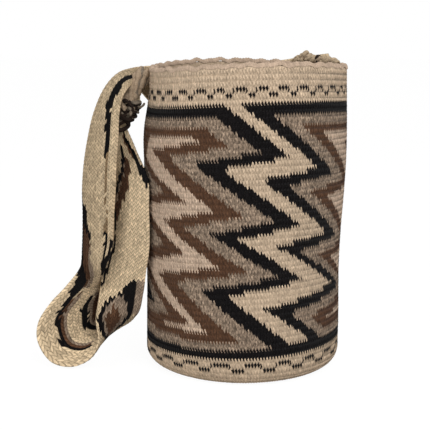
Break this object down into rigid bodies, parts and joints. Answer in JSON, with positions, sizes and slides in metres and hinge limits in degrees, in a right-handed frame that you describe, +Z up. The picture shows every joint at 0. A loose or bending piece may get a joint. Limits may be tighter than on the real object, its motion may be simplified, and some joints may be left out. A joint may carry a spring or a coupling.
{
  "type": "mochila bag",
  "caption": "Cylindrical crocheted wool shoulder bag with a flat round base, nested zigzag bands and a long woven strap laid down one side.",
  "frame": {"origin": "middle of the flat round base, on the surface that the bag stands on", "axes": "+Z up along the bag, the side seen in the picture faces -Y, the strap's fall lies on the -X side"},
  "size_m": [0.2985, 0.2011, 0.3006],
  "materials": {
    "bag_wool": "crocheted sheep's wool, cream with black, grey, brown and beige zigzag bands",
    "strap_wool": "thick looped wool band, cream with dark diamonds",
    "lashing_wool": "dark heathered wool yarn",
    "stitch_wool": "cream and grey wool yarn"
  },
  "bodies": {
    "root": {"body": "bag_wool", "strap": "strap_wool", "left_strap_lashing": "lashing_wool", "right_strap_lashing": "stitch_wool"}
  },
  "joints": []
}
